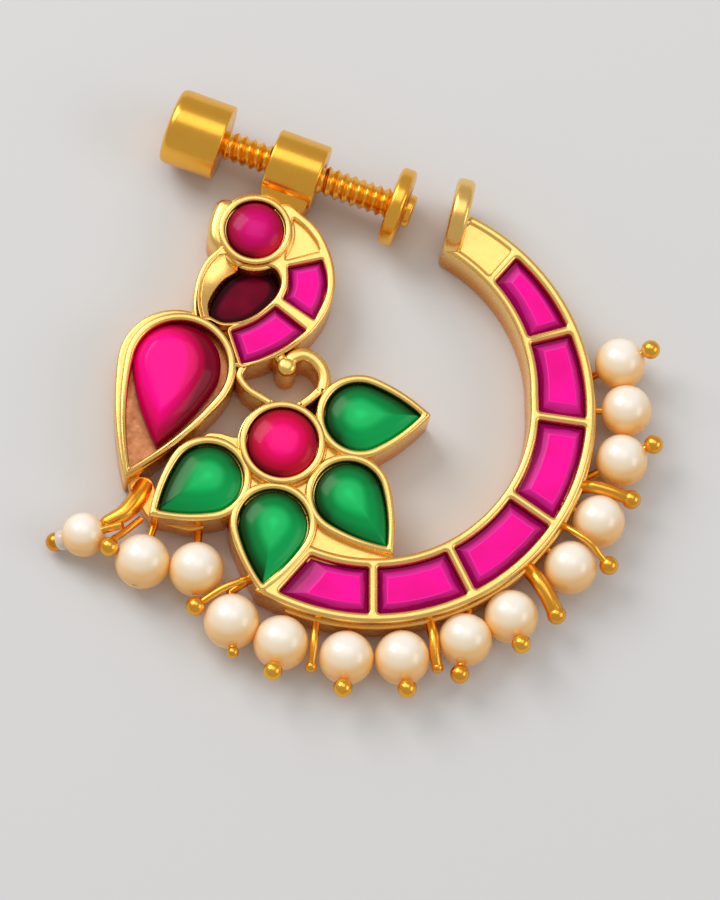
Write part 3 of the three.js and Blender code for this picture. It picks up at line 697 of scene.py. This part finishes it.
makePiece("neckBase", bm, "ring", goldSatin)
neckCut = {"gap": 0.05, "bed": 1.12, "girdle": 2.12, "table": 2.45, "crown": 0.36}
for i, sides in enumerate(neckCells):
    addCutStone(f"neckStone{i + 1}", f"stone_neck_{i + 1}", sides, neckCut)


# Stone with a smooth outline: rings are (share of the outline, height), drawn in from the girdle. The
# crown may lean to one side, and painted shade may darken one side of it.
def addDomedStone(name, node, line, middle, rings, finish, lean=Vector((0, 0)), shade=0):
    bm = newShape()
    rim = bm.verts.layers.float.new("rim")
    spot = bm.verts.layers.int["spot"]
    drawn = [[(*(middle + (p - middle) * share + lean * (1 - share)), z) for p in line]
             for share, z in rings]
    first, last = joinRings(bm, drawn)
    for v in bm.verts:
        share, z = min(rings, key=lambda ring: abs(ring[1] - v.co.z))
        across = (line[v[spot]] - middle).normalized().x if z > rings[0][1] else 0
        v[rim] = share + shade * across
    closeEnds(bm, first, last)
    makePiece(name, bm, "ring", finish, [node])


# Rings of a dome on a straight wall.
def domeRings(bed, wallTop, domeTop, steps=9, flat=0.04):
    rings = [(1, bed), (1, wallTop)]
    for k in range(1, steps + 1):
        a = math.pi / 2 * k / steps
        rings.append((max(math.cos(a), flat), wallTop + (domeTop - wallTop) * math.sin(a)))
    return rings


breastCut = {"gap": 0.06, "rows": [(0, 0.62, 1.0), (0, 1.25, 1.0), (0.12, 1.45, 1.0), (0.5, 1.5, 0.2)]}
bm = newShape()
addStoneBody(bm, insetLine(ovalLine, breastCut["gap"]), breastCut["rows"])
makePiece("breastStone", bm, "ring", darkShadedStone, ["stone_breast"])
print("neck made")

# Round settings of the head and the heart.
head = {"x": -5.44, "y": 10.55, "r": 1.52, "rim": 0.32, "collar": 0.2, "top": 2.9}
roundSeat = {"collarTop": 2.4, "floor": 1.1, "stoneBed": 1.12, "dome": 0.4, "gap": 0.05}
for name, node, seat, finish in [("head", "stone_head", head, headRuby),
                                 ("heart", "stone_heart", heart, rubyStone)]:
    r, rimR, out = seat["r"], seat["r"] + seat["rim"], seat["r"] + seat["rim"] + seat["collar"]
    lay = Matrix.Translation((seat["x"], seat["y"], 0)) @ Matrix.Rotation(math.radians(-90), 4, "Y")
    bm = newShape()
    profile = roundedProfile([
        (0, 0.02), (out, 0.02, 0.05), (out, roundSeat["collarTop"], 0.09),
        (rimR + 0.02, roundSeat["collarTop"] + 0.02, 0.03), (rimR, seat["top"], 0.15),
        (r - 0.02, seat["top"], 0.15), (r - 0.02, roundSeat["floor"]), (0, roundSeat["floor"])])
    addSpun(bm, profile, 72, lay)
    makePiece(f"{name}Bezel", bm, "ring", goldSatin)
    line = arcLine(seat["x"], seat["y"], r - roundSeat["gap"], 0, 355, 5)
    rings = domeRings(roundSeat["stoneBed"], band["top"], seat["top"] + roundSeat["dome"])
    addDomedStone(f"{name}Stone", node, line, Vector((seat["x"], seat["y"])), rings, finish)

# Petals.
petals = {
    "a": {"x": -0.2, "y": 1.0, "r": 1.74, "tipX": 2.85, "tipY": 1.12},
    "b": {"x": -0.75, "y": -3.05, "r": 1.72, "tipX": 1.15, "tipY": -5.6},
    "c": {"x": -4.43, "y": -4.57, "r": 1.74, "tipX": -4.93, "tipY": -7.6},
    "d": {"x": -7.65, "y": -2.3, "r": 1.73, "tipX": -10.12, "tipY": -3.95}}
petalSetting = {"rail": 0.42, "top": 2.66, "edge": 0.17, "gap": 0.05, "stoneBed": 1.12, "girdle": 2.3,
                "stoneTop": 2.95}
for key, petal in petals.items():
    bm = newShape()
    addPlate(bm, dropLine(petal, petalSetting["rail"]), [dropLine(petal)], 0.03, petalSetting["top"],
             petalSetting["edge"], 0.05)
    addPlate(bm, dropLine(petal, 0.1), [], 0.0, band["bed"], 0.03, 0.03)
    makePiece(f"petalBezel{key.upper()}", bm, "ring", goldSatin)
    line = dropLine(petal, -petalSetting["gap"])
    rings = domeRings(petalSetting["stoneBed"], petalSetting["girdle"], petalSetting["stoneTop"])
    middle = Vector((petal["x"], petal["y"]))
    addDomedStone(f"petalStone{key.upper()}", f"stone_petal_{key}", line, middle, rings, greenStone)
print("flower made")

# The wing.
wing = {"x": -9.1, "y": 3.42, "r": 2.36, "tipX": -11.5, "tipY": -1.8, "rail": 0.42, "top": 2.66,
        "edge": 0.17, "floor": 1.3}
shoulder = {**wing, "x": -9.3, "y": 3.54, "out": 0.14, "top": 2.32, "edge": 0.16}
# The wing stone's shade is painted shade, darker on its right side.
wingGem = {"x": -9.25, "y": 3.55, "r": 2.18, "tipX": -10.2, "tipY": -0.6, "lean": -0.6, "shade": 0.2,
           "rings": [(1, 1.32), (1, 2.15), (0.97, 2.28), (0.88, 2.5), (0.76, 2.72), (0.62, 2.88),
                     (0.58, 2.905), (0.5, 2.92), (0.1, 2.98)]}
bm = newShape()
addPlate(bm, dropLine(shoulder, wing["rail"] + shoulder["out"]), [dropLine(wing, 0.15)], 0.02,
         shoulder["top"], shoulder["edge"], 0.05)
addPlate(bm, dropLine(wing, wing["rail"]), [dropLine(wing)], 0.06, wing["top"], wing["edge"], 0.05)
makePiece("wingBezel", bm, "ring", goldSatin)
bm = newShape()
addPlate(bm, dropLine(wing, 0.1), [], 0.0, wing["floor"], 0.03, 0.03)
makePiece("wingFoil", bm, "ring", copperFoil)
addDomedStone("wingStone", "stone_wing", dropLine(wingGem), Vector((wingGem["x"], wingGem["y"])),
              wingGem["rings"], wingRuby, Vector((wingGem["lean"], 0)), wingGem["shade"])

# Low plates between the settings, then the scroll and the beak.
webs = [  # underside, top and corners
    (0.0, 2.1, [(-8.3, -0.6), (-7.7, 0.2), (-7.0, 0.15), (-6.2, -0.1), (-4.0, 1.2), (-2.2, 0.6),
                (-0.6, -0.6), (-0.5, -2.4), (-3.0, -4.2), (-5.0, -4.0), (-7.0, -3.0)]),
    (0.01, 2.08, [(-3.4, -3.8), (-1.2, -4.6), (1.3, -5.7), (1.75, -6.3), (-0.4, -6.6), (-3.0, -6.4)]),
    (0.3, 1.4, [(-11.7, -1.9), (-11.4, -2.9), (-10.95, -3.5), (-10.6, -4.1), (-9.7, -4.45),
                (-8.4, -4.75), (-7.6, -4.5), (-8.6, -3.6), (-10.0, -3.2), (-10.4, -2.0)])]
bm = newShape()
for z0, z1, corners in webs:
    addPlate(bm, easeCorners([Vector(c) for c in corners], 0.35), [], z0, z1, 0.1, 0.05)
makePiece("settingWebs", bm, "ring", goldSatin)
hook = [(-3.8, 3.6), (-3.52, 4.02), (-3.0, 4.22), (-2.45, 4.0), (-2.05, 3.5), (-1.92, 2.9), (-2.1, 2.1)]
rails = [  # line, width, top and eased edge
    ([(-5.9, 3.6), (-6.15, 3.0), (-5.75, 2.38), (-5.15, 1.98), (-4.5, 1.6)], 0.38, 2.5, 0.15),
    ([(-1.95, 2.6), (-2.6, 1.95), (-3.2, 1.5)], 0.42, 2.48, 0.16),
    (hook, 0.72, 2.5, 0.3),
    ([(-4.3, 4.3), (-4.05, 3.95), (-3.8, 3.6)], 0.62, 2.4, 0.25)]
hookEnd = {"r": 0.53, "top": 2.56, "edge": 0.38}
beak = {"top": 2.62, "edge": 0.4, "outline": [
    (-6.35, 12.0), (-6.9, 12.28), (-7.35, 12.1), (-7.62, 11.5), (-7.78, 10.8), (-7.75, 10.1), (-7.4, 9.6),
    (-6.9, 9.5), (-6.3, 9.9), (-6.0, 11.0)]}
bm = newShape()
for points, width, top, edge in rails:
    addPlate(bm, easeCorners(ribbonLine(points, width), 0.12), [], 0.0, top, edge, 0.05)
addPlate(bm, arcLine(*hook[0], hookEnd["r"], 0, 350, 10), [], 0.0, hookEnd["top"], hookEnd["edge"], 0.05)
addPlate(bm, smoothLine(beak["outline"], 5, closed=True), [], 0.0, beak["top"], beak["edge"], 0.05)
makePiece("scrollAndBeak", bm, "ring", goldSatin)
print("bird made")


# The clamp: turned pieces are profiles of (radius, station along the axis, corner radius).
def layAt(spot):
    turn = Matrix.Rotation(math.radians(spot["deg"]), 4, "Z")
    return Matrix.Translation((spot["x"], spot["y"], spot["z"])) @ turn


screwAxis = {"x": -3.38, "y": 14.01, "z": 2.1, "deg": -19.9}
onScrew = layAt(screwAxis)
barrel = {"half": 1.35, "r": 1.7, "bore": 0.82, "chamfer": 0.05, "round": 0.16}
half, wide, bore, chamfer = barrel["half"], barrel["r"], barrel["bore"], barrel["chamfer"]
bm = newShape()
addSpun(bm, roundedProfile([
    (bore, chamfer - half), (bore, -half, 0.03), (wide, -half, barrel["round"]),
    (wide, half, barrel["round"]), (bore, half, chamfer), (bore, half - chamfer),
    (bore, chamfer - half)]), 72, onScrew)
makePiece("barrel", bm, "ring", goldTurned)

# Concave bridge from the barrel down to the head setting, drawn as sections across it.
saddle = {"near": 0.9, "far": 2.95, "widthNear": 1.31, "widthFar": 0.86, "steps": 12, "low": 0.3,
          "rise": 1.0, "under": -1.6, "drift": -0.12, "bevelAcross": 0.12, "bevelDown": 0.1}
sections = []
for k in range(saddle["steps"] + 1):
    t = k / saddle["steps"]
    down = -saddle["near"] - (saddle["far"] - saddle["near"]) * t
    half = saddle["widthNear"] + (saddle["widthFar"] - saddle["widthNear"]) * t ** 1.5
    rise = saddle["low"] + saddle["rise"] * (1 - t) ** 3
    left, right = saddle["drift"] * t - half, saddle["drift"] * t + half
    across, side = saddle["bevelAcross"], rise - saddle["bevelDown"]
    sections.append([(left, down, saddle["under"]), (right, down, saddle["under"]), (right, down, side),
                     (right - across, down, rise), (left + across, down, rise), (left, down, side)])
bm = newShape()
for end in joinRings(bm, sections):
    bmesh.ops.holes_fill(bm, edges=end, sides=0)
bmesh.ops.transform(bm, matrix=onScrew, verts=bm.verts)
makePiece("saddle", bm, "ring", goldTurned, sharp=50)

# End plate on the tip of the crescent.
plate = {"x": 4.83, "y": 11.63, "z": 2.08, "deg": -12.5, "r": 2.04, "half": 0.47}
half, wide = plate["half"], plate["r"]
bm = newShape()
addSpun(bm, roundedProfile([(0, -half), (wide, -half, 0.3), (wide, half, 0.34), (0, half)], 7), 64,
        layAt(plate))
makePiece("endPlate", bm, "ring", goldSatin)

# Screw: a knob, a rod with a helical thread, and a stem with a small head that holds the swivel pad.
knob = {"r": 1.95, "from": -6.7, "to": -3.85, "dishR": 1.3, "dish": 0.1}
wide, start, dish = knob["r"], knob["from"], knob["from"] + knob["dish"]
bm = newShape()
addSpun(bm, roundedProfile([
    (0, dish), (knob["dishR"], dish, 0.02), (knob["dishR"] + 0.04, start, 0.04), (wide - 0.1, start, 0.2),
    (wide, start + 0.3, 0.15), (wide, knob["to"], 0.12), (0, knob["to"])]), 96, onScrew)
makePiece("knob", bm, "screw", goldTurned)
thread = {"pitch": 0.45, "outer": 0.77, "root": 0.6, "from": -4.03, "to": 5.08, "steps": 28}
pitch, root, outer = thread["pitch"], thread["root"], thread["outer"]
tooth = [(root, 0), (root + 0.01, 0.06), (root + 0.09, 0.13), (outer - 0.03, 0.185), (outer, 0.225),
         (outer - 0.03, 0.265), (root + 0.09, 0.32), (root + 0.01, 0.39), (root, pitch)]
turns = int((thread["to"] - thread["from"] - 0.1) / pitch)
bm = newShape()
verts = [bm.verts.new((thread["from"] + s, r, 0)) for r, s in tooth]
edges = [bm.edges.new(pair) for pair in zip(verts, verts[1:])]
bmesh.ops.spin(bm, geom=verts + edges, cent=(0, 0, 0), axis=(1, 0, 0),
               dvec=(pitch / thread["steps"], 0, 0), angle=math.tau * turns, steps=thread["steps"] * turns,
               use_duplicate=False)
bmesh.ops.remove_doubles(bm, verts=bm.verts, dist=0.001)
last = thread["from"] + turns * pitch
for v in bm.verts:  # the thread dies away over one pitch at both ends
    away = max(0, min(v.co.x - thread["from"], last + pitch - v.co.x) / pitch)
    limit = root - 0.03 + (outer - root + 0.03) * min(1, away)
    v.co.yz *= min(1, limit / v.co.yz.length)
bmesh.ops.holes_fill(bm, edges=[e for e in bm.edges if e.is_boundary], sides=0)
bmesh.ops.transform(bm, matrix=onScrew, verts=bm.verts)
core, tail = root - 0.02, thread["from"] - 0.1
stem = {"r": 0.34, "from": 4.98, "to": 5.93, "headR": 0.85, "headTo": 6.25}
pin = [(stem["r"], stem["to"]), (stem["headR"], stem["to"], 0.02), (stem["headR"], stem["headTo"], 0.14),
       (0, stem["headTo"] + 0.02)]
addSpun(bm, [(0, tail), (core, tail), (core, stem["from"] - 0.01), (stem["r"], stem["from"])]
        + roundedProfile(pin), 48, onScrew)
makePiece("screwRod", bm, "screw", goldTurned, ["screw"], sharp=55)
pad = {"r": 2.03, "from": 5.05, "to": 5.85, "hole": 0.44, "round": 0.28, "faceR": 1.25, "dish": 0.08}
wide, hole, start, end = pad["r"], pad["hole"], pad["from"], pad["to"]
bm = newShape()
addSpun(bm, roundedProfile([
    (hole, start + 0.05), (hole, start, 0.02), (wide, start, pad["round"]), (wide, end, pad["round"]),
    (pad["faceR"], end, 0.05), (pad["faceR"] - 0.1, end - pad["dish"], 0.05),
    (hole, end - pad["dish"], 0.02), (hole, start + 0.05)]), 80, onScrew)
makePiece("swivelPad", bm, "pad", goldTurned, ["pad"])
print("clamp made")

# The pearl fringe. Each pearl: x, y, radius, the ball that ends its wire if one shows, and the root of its
# wire if that isn't the middle of the crescent.
pearlKit = {"height": 1.4, "around": 36, "rows": 26, "mouth": ((0.05, 0.85), (0.3, 1.0)), "flatter": 0.02,
            "shorter": 0.03}
wire = {"r": 0.2, "ball": 0.48, "smallBall": 0.3, "smallBallOn": 11, "reach": 2.15, "thin": 0.6}
pearls = [
    (12.99, 4.36, 1.3, (14.22, 4.78, 2.2), None), (13.25, 1.91, 1.3, None, None),
    (12.96, -0.7, 1.33, (14.5, 0.03, 1.84), None), (11.76, -3.87, 1.34, None, None),
    (10.31, -6.24, 1.35, None, None), (7.35, -8.78, 1.34, (7.74, -10.29, 2.2), None),
    (5.07, -9.98, 1.34, (4.79, -11.69, 1.6), None), (1.97, -10.94, 1.37, (2.15, -12.6, 2.08), None),
    (-0.78, -10.98, 1.37, (-0.98, -12.61, 2.12), None), (-3.97, -10.28, 1.38, (-4.39, -11.83, 2.2), None),
    (-6.4, -9.25, 1.38, (-6.34, -10.8, 1.74), (-5.3, -6.9, 1.2)),
    (-8.14, -6.66, 1.37, None, (-8.05, -4.6, 1.0)),
    (-10.8, -6.3, 1.37, None, (-10.2, -4.2, 1.0)), (-13.7, -5.0, 1.1, (-15.06, -5.2, 0.7), None)]
bentWires = [  # radius, radius of the ball, line
    (0.34, 0.48, [(10.7, -2.1, 1.3), (11.5, -2.15, 1.7), (12.4, -2.4, 1.75), (13.4, -2.75, 1.6)]),
    (0.18, 0.48, [(9.5, -3.9, 1.7), (11.05, -5.06, 2.35), (11.7, -5.75, 2.1), (12.2, -6.17, 1.7)]),
    (0.42, 0.48, [(8.1, -6.1, 1.3), (8.72, -7.05, 1.7), (9.18, -7.85, 1.75), (9.58, -8.7, 1.6)]),
    (0.27, 0.3, [(3.3, -8.7, 1.3), (3.48, -9.9, 1.75), (3.55, -10.8, 1.75), (3.68, -11.45, 1.6)]),
    (0.2, 0.3, [(-2.2, -8.8, 1.3), (-2.34, -9.9, 1.8), (-2.42, -10.8, 1.8), (-2.5, -11.5, 1.6)]),
    (0.18, 0.48, [(-5.0, -7.0, 1.6), (-6.0, -7.35, 2.0), (-7.0, -7.83, 2.0), (-8.18, -8.6, 1.75)]),
    (0.18, 0.48, [(-10.9, -4.1, 1.2), (-11.8, -4.95, 1.6), (-12.25, -5.35, 1.9), (-12.45, -5.75, 2.0)]),
    (0.58, 0.36, [(-10.75, -2.4, 1.0), (-11.1, -3.1, 1.35), (-11.7, -3.9, 1.6), (-12.55, -4.4, 1.6)])]


# Drilled pearl: a ball whose poles are opened and turned in along the drill.
def addPearl(bm, middle, outward, r):
    bmesh.ops.create_uvsphere(bm, u_segments=pearlKit["around"], v_segments=pearlKit["rows"], radius=r)
    poles = [v for v in bm.verts if abs(v.co.z) > r * 0.999]
    bmesh.ops.delete(bm, geom=poles, context="VERTS")
    for side in (1, -1):
        mouth = [e for e in bm.edges if e.is_boundary and e.verts[0].co.z * side > 0]
        for inward, tight in pearlKit["mouth"]:
            ring, mouth = growFrom(bm, mouth)
            for v in ring:
                v.co = Vector((v.co.x * tight, v.co.y * tight, v.co.z - side * inward))
        bmesh.ops.holes_fill(bm, edges=mouth, sides=0)
    flatter = 1 - random.uniform(0, pearlKit["flatter"])
    shorter = 1 - random.uniform(0, pearlKit["shorter"])
    turn = outward.to_track_quat("Z", "Y").to_matrix().to_4x4()
    lay = Matrix.Translation(middle) @ turn @ Matrix.Diagonal((1, flatter, shorter, 1))
    bmesh.ops.transform(bm, matrix=lay, verts=bm.verts)


posts = newShape()
for i, (x, y, r, ballAt, root) in enumerate(pearls):
    middle = Vector((x, y, pearlKit["height"]))
    if ballAt:
        outward = (Vector(ballAt) - middle).normalized()
    else:
        origin = Vector(root) if root else Vector((band["x"], band["y"], pearlKit["height"]))
        outward = (middle - origin).normalized()
    size = wire["smallBall"] if i + 1 == wire["smallBallOn"] else wire["ball"]
    end = middle + outward * ((r + size * 0.97) if ballAt else (r - 0.05))
    start = middle - outward * ((r + wire["r"]) if root and ballAt else wire["reach"])
    addTube(posts, [start, end], [wire["r"]] * 2)
    if ballAt:
        addBall(posts, end, size)
    if root and ballAt:
        addBall(posts, start, wire["r"], 14, 8)
        addTube(posts, [Vector(root), start], [wire["r"]] * 2)
    bm = newShape()
    addPearl(bm, middle, outward, r)
    number = f"{i + 1:02d}"
    makePiece(f"pearl{number}", bm, "ring", pearlSkin, [f"pearl_{number}"], sharp=50)
for r, ball, line in bentWires:
    path = smoothSpace(line)
    thin = wire["thin"] if r > 0.5 else 1
    addTube(posts, path, [r * (1 + (thin - 1) * i / len(path)) for i in range(len(path))])
    addBall(posts, path[-1], ball)
makePiece("fringeWires", posts, "ring", goldTurned, sharp=45)

# Clear stopper on the outer side of the last pearl.
stopper = {"at": 1.16, "r": 0.56, "half": 0.26, "hole": 0.21, "shoulder": 0.8}
x, y, _, ballAt, _ = pearls[-1]
middle = Vector((x, y, pearlKit["height"]))
outward = (Vector(ballAt) - middle).normalized()
turn = outward.to_track_quat("X", "Z").to_matrix().to_4x4()
half, wide, hole = stopper["half"], stopper["r"], stopper["hole"]
narrow = wide * stopper["shoulder"]
bm = newShape()
addSpun(bm, roundedProfile([(hole, -half), (narrow, -half, 0.1), (wide, 0, 0.2), (narrow, half, 0.1),
                            (hole, half), (hole, -half)]), 32,
        Matrix.Translation(middle + outward * stopper["at"]) @ turn)
makePiece("fringeStopper", bm, "ring", clearPlastic)
print("fringe made")

# Floor, lights and camera.
floorKit = {"colour": (0.71, 0.755, 0.84, 1), "rough": 0.75, "size": 1.2, "drop": 0.00003}
bm = bmesh.new()
bmesh.ops.create_grid(bm, x_segments=8, y_segments=8, size=floorKit["size"])
bmesh.ops.translate(bm, verts=bm.verts, vec=(0, 0, -floorKit["drop"]))
mesh = bpy.data.meshes.new("floor")
bm.to_mesh(mesh)
bm.free()
floor = bpy.data.objects.new("floor", mesh)
bpy.context.scene.collection.objects.link(floor)
paper, _, shader = newFinish("paper")
shader.inputs["Base Color"].default_value = floorKit["colour"]
shader.inputs["Roughness"].default_value = floorKit["rough"]
mesh.materials.append(paper)
aim = shift * mm  # the lights and the camera point here


def addLight(name, spot, size, power, colour):
    data = bpy.data.lights.new(name, "AREA")
    data.shape, data.size, data.size_y, data.energy, data.color = "RECTANGLE", *size, power, colour
    lamp = bpy.data.objects.new(name, data)
    bpy.context.scene.collection.objects.link(lamp)
    lamp.location = Vector(spot)
    lamp.rotation_euler = (-(Vector(spot) - aim)).to_track_quat("-Z", "Y").to_euler()


addLight("overhead", (0.02, 0.1, 0.34), (0.22, 0.2), 0.15, (1, 0.96, 0.9))
addLight("key", (-0.2, 0.2, 0.26), (0.22, 0.22), 0.72, (1, 0.94, 0.85))
addLight("fill", (0.28, -0.06, 0.2), (0.2, 0.14), 0.16, (1, 0.96, 0.9))
sky = {"colour": (1, 0.92, 0.8, 1), "strength": 0.48}
world = bpy.data.worlds.new("studio")
world.use_nodes = True
world.node_tree.nodes["Background"].inputs["Color"].default_value = sky["colour"]
world.node_tree.nodes["Background"].inputs["Strength"].default_value = sky["strength"]
bpy.context.scene.world = world

view = {"leftDeg": 4, "nearDeg": 16, "away": 0.2, "lens": 160, "sensor": 36, "clip": (0.01, 10)}
camera = bpy.data.objects.new("camera", bpy.data.cameras.new("camera"))
bpy.context.scene.collection.objects.link(camera)
camera.data.lens, camera.data.sensor_width = view["lens"], view["sensor"]
camera.data.clip_start, camera.data.clip_end = view["clip"]
left, near = math.tan(math.radians(view["leftDeg"])), math.tan(math.radians(view["nearDeg"]))
look = Vector((-left, -near, 1)).normalized()
right = Vector((0, 1, 0)).cross(look).normalized()
turn = Matrix((right, look.cross(right), look)).transposed().to_4x4()
camera.matrix_world = Matrix.Translation(aim + look * view["away"]) @ turn
bpy.context.scene.camera = camera
bpy.context.scene.view_settings.view_transform = "Standard"
print("camera set")
